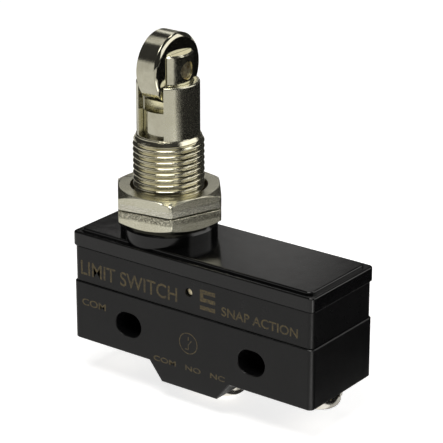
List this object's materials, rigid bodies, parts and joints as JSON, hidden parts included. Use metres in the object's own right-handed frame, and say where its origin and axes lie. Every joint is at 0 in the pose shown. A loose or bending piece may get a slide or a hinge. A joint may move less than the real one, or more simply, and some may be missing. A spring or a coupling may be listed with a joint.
{
  "type": "limit switch",
  "caption": "Panel-mount snap-action limit switch with a cross-roller plunger in a slotted threaded bushing, locknuts, side mounting slots and screw terminals.",
  "frame": {"origin": "midway between the two side mounting slots, in the middle of the body's width", "axes": "+X along the body away from the bushing, +Y through the mounting slots to the back face, +Z along the bushing up to the roller"},
  "size_m": [0.0492, 0.0184, 0.0609],
  "materials": {
    "base_plastic": "black phenolic moulding, satin gloss",
    "cover_plastic": "black phenolic moulding, satin gloss",
    "cap_plastic": "black phenolic moulding, high gloss top",
    "bushing_nickel": "bright nickel plate over brass, slightly warm",
    "nut_nickel": "nickel plate over drawn hexagon bar, lightly brushed",
    "plunger_steel": "ground steel, nickel plated",
    "roller_steel": "turned and polished steel",
    "pin_steel": "peened pin end, slightly brassy",
    "spring_steel": "bright spring wire",
    "blade_copper": "copper alloy spring strip",
    "terminal_brass": "half-hard brass strip",
    "contact_silver": "silver contact faces",
    "button_plastic": "red-brown phenolic button",
    "screw_nickel": "nickel-plated pan-head screws"
  },
  "bodies": {
    "case": {"base_case": "base_plastic", "middle_cover": "cover_plastic", "top_cap": "cap_plastic", "cross_pin": "pin_steel", "bushing": "bushing_nickel", "spring_seat": "spring_steel", "return_spring": "spring_steel", "common_terminal": "terminal_brass", "no_terminal": "terminal_brass", "nc_terminal": "terminal_brass", "no_contact": "contact_silver", "nc_contact": "contact_silver", "blade_anchor": "terminal_brass", "anchor_rivet": "terminal_brass"},
    "plunger": {"plunger": "plunger_steel", "roller_axle": "pin_steel"},
    "roller": {"roller": "roller_steel"},
    "actuator": {"push_rod": "plunger_steel", "plunger_button": "button_plastic", "overtravel_spring": "spring_steel"},
    "blade": {"snap_blade": "blade_copper", "moving_contact": "contact_silver"},
    "upper_nut": {"upper_nut": "nut_nickel"},
    "lower_nut": {"lower_nut": "nut_nickel"},
    "common_screw": {"common_screw": "screw_nickel", "common_washer": "screw_nickel"},
    "no_screw": {"no_screw": "screw_nickel", "no_washer": "screw_nickel"},
    "nc_screw": {"nc_screw": "screw_nickel", "nc_washer": "screw_nickel"}
  },
  "joints": [
    {"name": "plunger_travel", "type": "slide", "parent": "case", "child": "plunger", "axis": [0, 0, -1], "range_m": [0, 0.004], "stiffness_N_per_m": 600, "springref_m": -0.0045, "deforming": ["return_spring", "overtravel_spring"]},
    {"name": "roller_spin", "type": "hinge", "parent": "plunger", "child": "roller", "pos_m": [-0.0106, 0, 0.0434], "axis": [1, 0, 0], "continuous": true},
    {"name": "button_travel", "type": "slide", "parent": "case", "child": "actuator", "axis": [0, 0, -1], "range_m": [0, 0.0005]},
    {"name": "blade_turn", "type": "hinge", "parent": "case", "child": "blade", "pos_m": [-0.0196, 0, 0.00615], "axis": [0, 1, 0], "range_deg": [0, 0.81]},
    {"name": "upper_nut_travel", "type": "slide", "parent": "case", "child": "upper_nut", "axis": [0, 0, 1], "range_m": [0, 0.0088]},
    {"name": "lower_nut_turn", "type": "hinge", "parent": "case", "child": "lower_nut", "pos_m": [-0.0106, 0, 0.0189], "axis": [0, 0, 1], "continuous": true},
    {"name": "common_screw_travel", "type": "slide", "parent": "case", "child": "common_screw", "axis": [0, 0, -1], "range_m": [0, 0.0025]},
    {"name": "no_screw_travel", "type": "slide", "parent": "case", "child": "no_screw", "axis": [0, 0, -1], "range_m": [0, 0.0025]},
    {"name": "nc_screw_travel", "type": "slide", "parent": "case", "child": "nc_screw", "axis": [0, 0, -1], "range_m": [0, 0.0025]}
  ],
  "couplings": [
    {"joint": "button_travel", "follows": "plunger_travel", "ratio": 0.125},
    {"joint": "blade_turn", "follows": "plunger_travel", "rad_per_m": 3.5}
  ]
}
